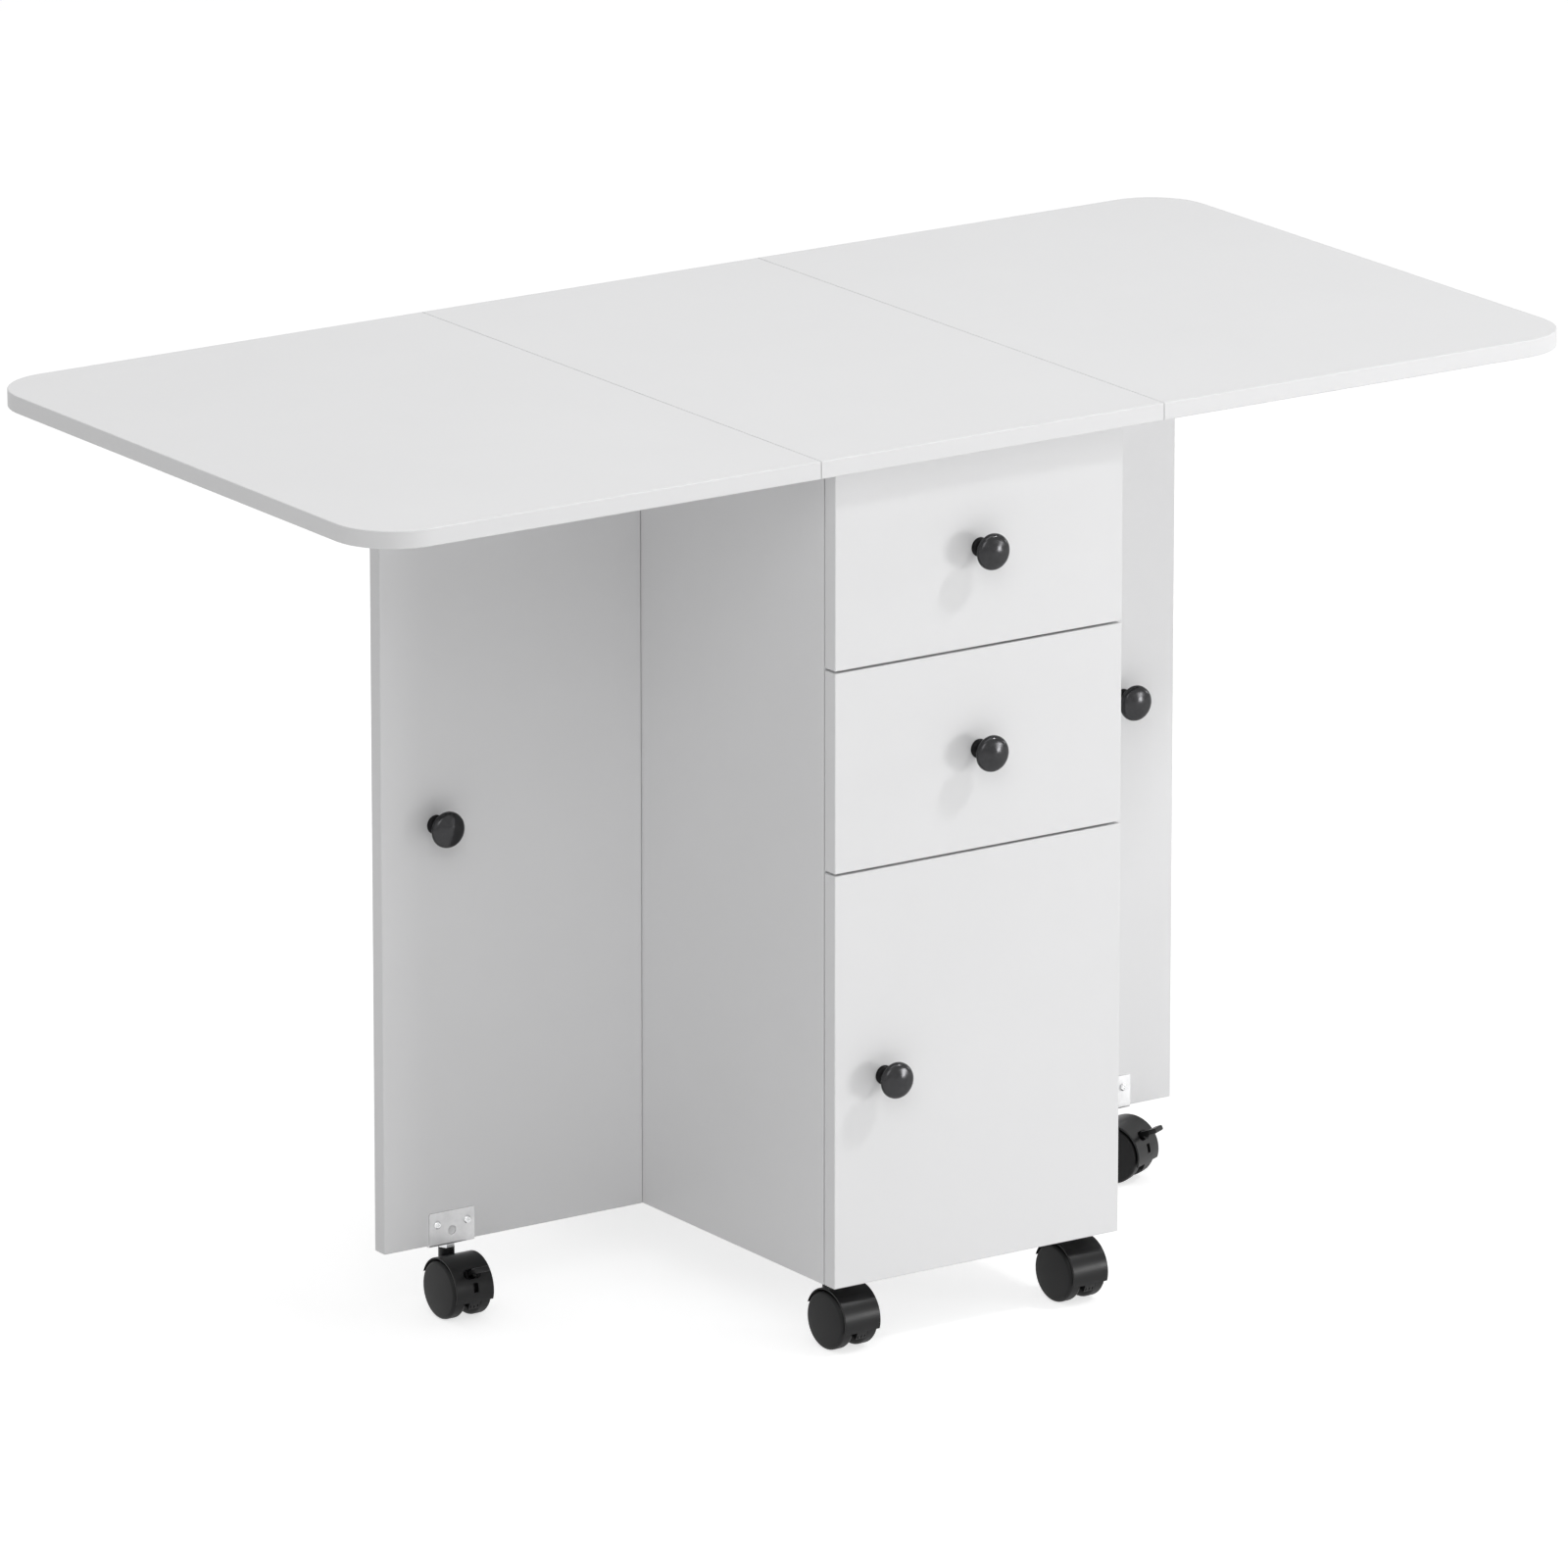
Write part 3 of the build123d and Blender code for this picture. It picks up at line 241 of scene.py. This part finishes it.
def plated_steel(name, colour, roughness, cloud_scale, rub_scale, edge_reach, rubbed_along=(1, 1, 1)):
    edge_patch_scale = 400.0
    edge_shine = 0.12
    edge_polish = 0.08
    rub_depth = 0.00001
    material, tree, shader = base_material(name)
    rub = noise(tree, squeezed_place(tree, rubbed_along), rub_scale, detail=4.0, roughness=0.6)
    cloud = noise(tree, object_place(tree), cloud_scale, detail=3.0, roughness=0.6)
    edge = worn_edges(tree, edge_reach, edge_patch_scale)
    clouded = varied(tree, cloud, low=0.93, high=1.03)
    tone = sums(tree, "MULTIPLY", clouded, varied(tree, rub, low=0.97, high=1.02))
    tone = sums(tree, "ADD", tone, faded(tree, edge, 0.0, edge_shine))
    tree.links.new(shaded(tree, colour, tone), shader.inputs["Base Color"])
    rough = varied(tree, cloud, low=roughness * 1.12, high=roughness * 0.9)
    rough = sums(tree, "ADD", rough, varied(tree, rub, low=-0.02, high=0.02))
    rough = sums(tree, "SUBTRACT", rough, faded(tree, edge, 0.0, edge_polish))
    tree.links.new(rough, shader.inputs["Roughness"])
    add_bump(tree, shader, rub, rub_depth, strength=0.35)
    shader.inputs["Metallic"].default_value = 1.0
    return material


def blended(tree, share, first, second):
    node = tree.nodes.new("ShaderNodeMix")
    node.data_type = "RGBA"
    feed(tree, share, node.inputs["Factor"])
    feed(tree, first, node.inputs["A"])
    feed(tree, second, node.inputs["B"])
    return node.outputs["Result"]


def beech_pegs():
    grain_depth = 0.00008
    material, tree, shader = base_material("beech pegs")
    grain = noise(tree, squeezed_place(tree, along_the_peg), scale=900.0, detail=4.0, roughness=0.65)
    colour = blended(tree, varied(tree, grain, 0.0, 1.0), beech_dark, beech_light)
    tree.links.new(colour, shader.inputs["Base Color"])
    tree.links.new(varied(tree, grain, low=0.7, high=0.55), shader.inputs["Roughness"])
    add_bump(tree, shader, grain, grain_depth, strength=0.5)
    return material


cast_zinc = plated_steel("cast zinc cams", cast_zinc_colour, roughness=0.42,
                         cloud_scale=160.0, rub_scale=900.0, edge_reach=0.0003)
dress(cast_zinc, "cam_locks_and_bolts")
dress(beech_pegs(), "wooden_dowels")

# Drawer runner strips. Extruded white plastic rails screwed to the side panels, a little warmer and
# glossier than the boards, with fine draw lines along their length and marks where a box slides.
rail_colour = (0.73, 0.73, 0.71)
along_the_rail = (1, 0.02, 1)


def soft_white_plastic(name, colour, draw_axis):
    line_depth = 0.00002
    edge_reach = 0.0005
    edge_patch_scale = 120.0
    edge_polish = 0.12
    material, tree, shader = base_material(name)
    lines = noise(tree, squeezed_place(tree, draw_axis), scale=1400.0)
    patches = noise(tree, object_place(tree), scale=60.0, detail=3.0)
    lined = varied(tree, lines, low=0.97, high=1.02)
    tone = sums(tree, "MULTIPLY", lined, varied(tree, patches, low=0.97, high=1.01))
    tree.links.new(shaded(tree, colour, tone), shader.inputs["Base Color"])
    rough = varied(tree, lines, low=0.34, high=0.46)
    rubbed = faded(tree, worn_edges(tree, edge_reach, edge_patch_scale), 0.0, edge_polish)
    tree.links.new(sums(tree, "SUBTRACT", rough, rubbed), shader.inputs["Roughness"])
    add_bump(tree, shader, lines, line_depth, strength=0.4)
    return material


dress(soft_white_plastic("white runner plastic", rail_colour, along_the_rail), "drawer_runner_strips")

# Top. Three boards of the same melamine faced chipboard: a fixed middle one and two leaves that
# fold at the seams. Their edges carry the same plastic strip, bent round the large outer corners.
dress(lying, "centre_top", "left_leaf_board", "right_leaf_board")

# Leaf pads. Small moulded slip pads of soft white plastic, fixed under the leaves where the open
# gates stand, so that a leaf rests on its pad and the gate's top edge doesn't rub the board.
pad_colour = (0.70, 0.70, 0.69)
pad_flow = (0.4, 0.4, 1)
dress(soft_white_plastic("white pad plastic", pad_colour, pad_flow), "left_leaf_pad", "right_leaf_pad")

# Hinges. Pressed steel leaves rolled round plain pins, zinc plated after rolling, so that the
# plating is cloudy on the flats and rubbed brighter on the knuckles. Held by countersunk screws.
# The door's two cup hinges are nickel plated, a little warmer and smoother.
zinc_plate = (0.66, 0.665, 0.675)
nickel_plate = (0.68, 0.675, 0.66)
hinge_steel = plated_steel("zinc plated hinges", zinc_plate, roughness=0.34, cloud_scale=120.0,
                           rub_scale=700.0, edge_reach=0.0003, rubbed_along=(1, 1, 0.15))
cup_steel = plated_steel("nickel plated cup hinges", nickel_plate, roughness=0.27, cloud_scale=90.0,
                         rub_scale=800.0, edge_reach=0.0004, rubbed_along=(1, 0.2, 1))
dress(hinge_steel, "leaf_hinge_fixed_halves", "gate_hinge_fixed_halves", "left_gate_hinge_halves",
      "right_gate_hinge_halves", "left_leaf_hinge_halves", "right_leaf_hinge_halves")
dress(cup_steel, "door_hinge_arms", "door_hinge_cups")

# Gates. Two boards on hinges beside the cabinet that swing out to carry the leaves. Each has a
# folded zinc plated bracket fixed to its foot for the castor by two bright pan head screws.
bracket_plate = (0.68, 0.68, 0.685)
screw_plate = (0.78, 0.785, 0.79)
bracket_steel = plated_steel("zinc plated brackets", bracket_plate, roughness=0.5, cloud_scale=70.0,
                             rub_scale=500.0, edge_reach=0.0004, rubbed_along=(1, 1, 0.6))
screw_steel = plated_steel("bright zinc screws", screw_plate, roughness=0.20, cloud_scale=300.0,
                           rub_scale=1600.0, edge_reach=0.0002)
dress(standing_front, "left_gate_panel", "right_gate_panel")
dress(bracket_steel, "left_gate_bracket", "right_gate_bracket")
dress(screw_steel, "cabinet_screws", "left_gate_screws", "right_gate_screws")

# Drawers. A board front with a box of thinner boards behind it and a bottom of hardboard that slides
# into grooves. The hardboard is painted white on a fibrous sheet, so the felt still shows through.
hardboard_paint = (0.76, 0.76, 0.75)


def painted_hardboard():
    felt_depth = 0.0001
    material, tree, shader = base_material("painted hardboard")
    fibres = noise(tree, object_place(tree), scale=650.0, detail=5.0, roughness=0.7)
    mottle = noise(tree, object_place(tree), scale=45.0, detail=4.0, roughness=0.6)
    felted = varied(tree, fibres, low=0.95, high=1.02)
    tone = sums(tree, "MULTIPLY", felted, varied(tree, mottle, low=0.97, high=1.01))
    tree.links.new(shaded(tree, hardboard_paint, tone), shader.inputs["Base Color"])
    tree.links.new(varied(tree, fibres, low=0.62, high=0.5), shader.inputs["Roughness"])
    add_bump(tree, shader, fibres, felt_depth, strength=0.5)
    return material


dress(standing_front, "upper_drawer_front", "lower_drawer_front")
dress(standing_front, "upper_drawer_back", "lower_drawer_back")
dress(standing_side, "upper_drawer_sides", "lower_drawer_sides")
dress(painted_hardboard(), "upper_drawer_bottom", "lower_drawer_bottom")

# Door. One more board faced with melamine and edged like the others, bored on its inner face for
# the two cup hinges that hang it at its right edge.
dress(standing_front, "door_panel")

# Knobs. Turned metal with a dark gunmetal plating, each held from behind by a plain zinc machine screw.
# The waist under the crown is painted nearly black as painted shade, and the crown keeps the plating's
# tone.
knob_waist_reach = 0.0125
knob_crown_reach = 0.0165
screw_start = 0.0001
# Painted shade: the waist's nearly black colour stands in for the shade under the knob's crown.
waist_painted_shade_tone = (0.009, 0.009, 0.0095, 1.0)
crown_tone = (0.047, 0.047, 0.0487, 1.0)
screw_tone = (0.72, 0.725, 0.73, 1.0)
knob_boards = {
    "upper_drawer_knob": "upper_drawer_front",
    "lower_drawer_knob": "lower_drawer_front",
    "door_knob": "door_panel",
    "left_gate_knob": "left_gate_panel",
    "right_gate_knob": "right_gate_panel"}


def knob_plating_and_waist_shade():
    group, entry, out = shader_group(
        "Knob plating and painted waist shade",
        [("Board face", "NodeSocketFloat", 0.0), ("Waist painted shade", "NodeSocketColor", waist_painted_shade_tone),
         ("Crown", "NodeSocketColor", crown_tone), ("Screw", "NodeSocketColor", screw_tone)],
        [("Colour", "NodeSocketColor"), ("Roughness", "NodeSocketFloat"), ("Metal", "NodeSocketFloat"),
         ("Height", "NodeSocketFloat")])
    place = object_place(group)
    parts = group.nodes.new("ShaderNodeSeparateXYZ")
    group.links.new(place, parts.inputs["Vector"])
    behind = sums(group, "SUBTRACT", parts.outputs["Y"], entry.outputs["Board face"])
    ahead = sums(group, "MULTIPLY", behind, -1.0)
    # Mask that is 0 on the waist, where the painted shade goes, and 1 on the crown.
    crown_over_waist_shade = stretch(group, ahead, knob_waist_reach, knob_crown_reach, 0.0, 1.0)
    screw = sums(group, "GREATER_THAN", behind, screw_start)
    cloud = noise(group, place, scale=260.0, detail=4.0, roughness=0.6)
    fine = noise(group, place, scale=2600.0)
    # The waist gets the painted shade colour; the crown gets the plating's own tone.
    plated_with_waist_shade = blended(group, crown_over_waist_shade, entry.outputs["Waist painted shade"], entry.outputs["Crown"])
    plated_with_waist_shade = shaded(group, plated_with_waist_shade, varied(group, cloud, low=0.9, high=1.08))
    group.links.new(blended(group, screw, plated_with_waist_shade, entry.outputs["Screw"]), out.inputs["Colour"])
    rough = faded(group, crown_over_waist_shade, off=0.4, on=0.2)
    rough = sums(group, "ADD", rough, varied(group, cloud, low=-0.03, high=0.03))
    rough = sums(group, "ADD", rough, faded(group, screw, off=0.0, on=-0.1))
    group.links.new(rough, out.inputs["Roughness"])
    bare = sums(group, "MAXIMUM", crown_over_waist_shade, screw)
    group.links.new(faded(group, bare, off=0.9, on=1.0), out.inputs["Metal"])
    group.links.new(fine, out.inputs["Height"])
    return group


plating_and_waist_shade = knob_plating_and_waist_shade()


def gunmetal(name, board_face):
    rim_reach = 0.0005
    rim_patch_scale = 500.0
    rim_shine = 1.5
    polish_depth = 0.000006
    material, tree, shader = base_material(name)
    node = tree.nodes.new("ShaderNodeGroup")
    node.node_tree = plating_and_waist_shade
    node.inputs["Board face"].default_value = board_face
    rubbed = faded(tree, worn_edges(tree, rim_reach, rim_patch_scale), 1.0, rim_shine)
    tree.links.new(shaded(tree, node.outputs["Colour"], rubbed), shader.inputs["Base Color"])
    tree.links.new(node.outputs["Roughness"], shader.inputs["Roughness"])
    tree.links.new(node.outputs["Metal"], shader.inputs["Metallic"])
    add_bump(tree, shader, node.outputs["Height"], polish_depth, strength=0.5)
    return material


for knob, board in knob_boards.items():
    board_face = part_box(board)[0][1]
    dress(gunmetal("gunmetal " + knob.replace("_", " "), board_face), knob)

# Castor stems and insert nuts. Turned steel pins with a hexagon lock nut, screwed into flanged nuts
# that are driven up into the bottom board, all bright zinc.
stem_plate = (0.74, 0.745, 0.75)
stem_steel = plated_steel("bright zinc stems", stem_plate, roughness=0.24, cloud_scale=200.0,
                          rub_scale=1200.0, edge_reach=0.0003, rubbed_along=(1, 1, 0.2))
dress(stem_steel, "cabinet_castor_stems", "castor_insert_nuts")
dress(stem_steel, "left_gate_castor_stem", "right_gate_castor_stem")

# Castors. Twin wheels under a hood, moulded in black nylon, the wheels pressed on a steel axle.
# The hood's mould was lightly spark textured; the treads are scuffed where they roll.
# The front castors and the right gate's one stand a little turned, as in use.
hood_colour = (0.008, 0.008, 0.0084)
wheel_colour = (0.009, 0.009, 0.0094)
front_turn = 3.0
right_gate_turn = 27.0
castor_turns = {
    "front_left": front_turn,
    "front_right": front_turn,
    "rear_left": 0.0,
    "rear_right": 0.0,
    "left_gate": 0.0,
    "right_gate": right_gate_turn}


def tread_scuffs(tree, axle):
    tread = stretch(tree, towards(tree, axle), low=0.25, high=0.08, to_low=0.0, to_high=1.0)
    scratches = noise(tree, object_place(tree), scale=420.0, detail=4.0, roughness=0.7)
    scuffs = stretch(tree, scratches, low=0.42, high=0.68, to_low=0.0, to_high=1.0)
    return sums(tree, "MULTIPLY", tread, scuffs)


def black_nylon(name, colour, roughness, texture_scale, specular, axle=None):
    edge_reach = 0.0006
    edge_patch_scale = 260.0
    edge_lift = 0.9
    edge_polish = 0.08
    scuff_lift = 0.8
    scuff_roughness = 0.15
    texture_depth = 0.00002
    material, tree, shader = base_material(name)
    place = object_place(tree)
    grain = noise(tree, place, texture_scale)
    flow = noise(tree, place, scale=35.0, detail=3.0, roughness=0.6)
    edge = worn_edges(tree, edge_reach, edge_patch_scale)
    flowed = varied(tree, flow, low=0.9, high=1.12)
    tone = sums(tree, "ADD", flowed, faded(tree, edge, 0.0, edge_lift))
    rough = varied(tree, flow, low=roughness * 0.9, high=roughness * 1.1)
    rough = sums(tree, "ADD", rough, varied(tree, grain, low=-0.03, high=0.03))
    if axle:
        scuffed = tread_scuffs(tree, axle)
        tone = sums(tree, "ADD", tone, faded(tree, scuffed, 0.0, scuff_lift))
        rough = sums(tree, "ADD", rough, faded(tree, scuffed, 0.0, scuff_roughness))
    rough = sums(tree, "SUBTRACT", rough, faded(tree, edge, 0.0, edge_polish))
    tree.links.new(shaded(tree, colour, tone), shader.inputs["Base Color"])
    tree.links.new(rough, shader.inputs["Roughness"])
    add_bump(tree, shader, grain, texture_depth, strength=0.4)
    shader.inputs["Specular IOR Level"].default_value = specular
    return material


def wheel_nylon(turn):
    axle = (math.cos(math.radians(turn)), math.sin(math.radians(turn)), 0.0)
    return black_nylon("black nylon wheels turned %d" % turn, wheel_colour, roughness=0.45,
                       texture_scale=1500.0, specular=0.22, axle=axle)


hood_nylon = black_nylon("black nylon hoods", hood_colour, roughness=0.33,
                         texture_scale=2200.0, specular=0.25)
nylon_by_turn = {turn: wheel_nylon(turn) for turn in (front_turn, 0.0, right_gate_turn)}
for castor, turn in castor_turns.items():
    dress(hood_nylon, castor + "_castor_hood")
    dress(nylon_by_turn[turn], castor + "_castor_wheels")

# Brake levers. Moulded in the same black nylon as the hoods, and hung in the hoods of the two gate
# castors so that a foot can press them down on the treads.
dress(hood_nylon, "left_gate_brake_lever", "right_gate_brake_lever")

# Room. A plain pale floor that keeps the table's soft shadow, in a white surround. It is lit by two
# small lamps on the right, as the knobs' shadows show, and by large soft ones overhead and in front.
floor_span = 60.0
floor_drop = 0.0005
floor_tone = 0.9
seen_floor_glow = 0.7
seen_floor_tone = 0.6
surround_light = 0.39
middle = (0, 0, 0.5)


def seen_by_eye_or_gloss(tree):
    path = tree.nodes.new("ShaderNodeLightPath")
    seen = sums(tree, "MAXIMUM", path.outputs["Is Camera Ray"], path.outputs["Is Glossy Ray"])
    return sums(tree, "MAXIMUM", seen, path.outputs["Is Transmission Ray"])


def pale_floor():
    material, tree, shader = base_material("pale floor")
    shader.inputs["Base Color"].default_value = (floor_tone, floor_tone, floor_tone, 1)
    shader.inputs["Roughness"].default_value = 0.9
    shader.inputs["Specular IOR Level"].default_value = 0.0
    seen = seen_by_eye_or_gloss(tree)
    glow = tree.nodes.new("ShaderNodeEmission")
    glow.inputs["Color"].default_value = (1, 1, 1, 1)
    tree.links.new(sums(tree, "MULTIPLY", seen, seen_floor_glow), glow.inputs["Strength"])
    matt = tree.nodes.new("ShaderNodeBsdfDiffuse")
    matt.inputs["Color"].default_value = (seen_floor_tone, seen_floor_tone, seen_floor_tone, 1)
    soft = tree.nodes.new("ShaderNodeAddShader")
    tree.links.new(matt.outputs["BSDF"], soft.inputs[0])
    tree.links.new(glow.outputs["Emission"], soft.inputs[1])
    pick = tree.nodes.new("ShaderNodeMixShader")
    tree.links.new(seen, pick.inputs["Fac"])
    tree.links.new(shader.outputs["BSDF"], pick.inputs[1])
    tree.links.new(soft.outputs["Shader"], pick.inputs[2])
    tree.links.new(pick.outputs["Shader"], tree.nodes["Material Output"].inputs["Surface"])
    return material


bpy.ops.mesh.primitive_plane_add(size=floor_span, location=(0, 0, -floor_drop))
floor = bpy.context.object
floor.name = "floor"
floor.data.materials.append(pale_floor())

world = bpy.data.worlds.new("white room")
bpy.context.scene.world = world
world.use_nodes = True
tree = world.node_tree
backdrop = tree.nodes["Background"]
backdrop.inputs["Color"].default_value = (1, 1, 1, 1)
surround = faded(tree, seen_by_eye_or_gloss(tree), off=surround_light, on=1.0)
tree.links.new(surround, backdrop.inputs["Strength"])


def lamp(name, place, target, size, watts):
    data = bpy.data.lights.new(name, "AREA")
    data.shape = "RECTANGLE"
    data.size, data.size_y = size
    data.energy = watts
    made = bpy.data.objects.new(name, data)
    bpy.context.scene.collection.objects.link(made)
    made.location = place
    aim = made.location.copy()
    aim.x, aim.y, aim.z = (target[0] - place[0], target[1] - place[1], target[2] - place[2])
    made.rotation_euler = aim.to_track_quat("-Z", "Y").to_euler()


lamp("high lamp", (2.53, -2.35, 4.2), (0, 0, 0.45), size=(0.55, 0.55), watts=52)
lamp("level lamp", (2.95, -3.55, 0.56), middle, size=(1.0, 0.9), watts=43)
lamp("right lamp", (4.8, -1.35, 1.2), middle, size=(0.7, 0.7), watts=15)
lamp("overhead lamp", (0, 0, 4.5), middle, size=(3.0, 3.0), watts=47)
lamp("left front lamp", (-3.0, -4.0, 4.0), middle, size=(3.0, 3.0), watts=59)

# Camera. It stands to the left of the front and well back, a little above the top, and looks down
# at the whole table with a long lens.
camera_place = (-6.62205, -9.81421, 3.78470)
camera_dip = 15.9253
camera_turn = -33.9838
camera_lens = 337.5
film_width = 36.0
far_limit = 200.0
camera_data = bpy.data.cameras.new("camera")
camera = bpy.data.objects.new("camera", camera_data)
bpy.context.scene.collection.objects.link(camera)
camera.location = camera_place
camera.rotation_euler = (math.radians(90 - camera_dip), 0, math.radians(camera_turn))
camera_data.lens = camera_lens
camera_data.sensor_width = film_width
camera_data.clip_end = far_limit
bpy.context.scene.camera = camera
bpy.context.scene.view_settings.view_transform = "Standard"
